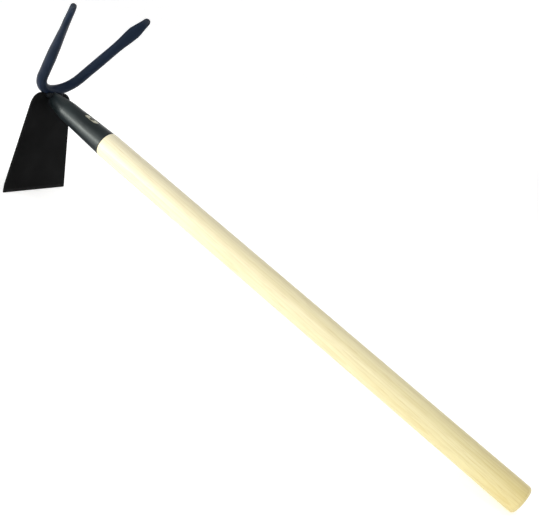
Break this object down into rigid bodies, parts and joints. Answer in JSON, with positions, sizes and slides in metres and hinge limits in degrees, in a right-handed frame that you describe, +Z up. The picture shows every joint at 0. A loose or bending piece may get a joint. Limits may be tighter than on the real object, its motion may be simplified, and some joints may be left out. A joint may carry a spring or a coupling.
{
  "type": "combination hoe",
  "caption": "Short-handled garden hand tool with a flat trapezoid hoe blade on one side of a tapered steel socket and a forked cultivator with spade points on the other.",
  "frame": {"origin": "centre of the object's footprint, on the floor that it rests on", "axes": "+X runs from the head towards the butt of the handle, +Y across the blade, +Z up; the tool rests on the blade's cutting edge and the rim of the butt, fork up"},
  "size_m": [0.6174, 0.1232, 0.2166],
  "materials": {
    "handle_wood": "smooth turned pale hardwood under a thin clear coat",
    "head_steel": "satin black coating over forged and pressed steel",
    "nail_steel": "dull plain wire nail"
  },
  "bodies": {
    "root": {"handle": "handle_wood", "socket": "head_steel", "blade": "head_steel", "fork": "head_steel", "nail": "nail_steel", "nose_weld": "head_steel", "fork_weld_inner": "head_steel", "fork_weld_outer": "head_steel"}
  },
  "joints": []
}
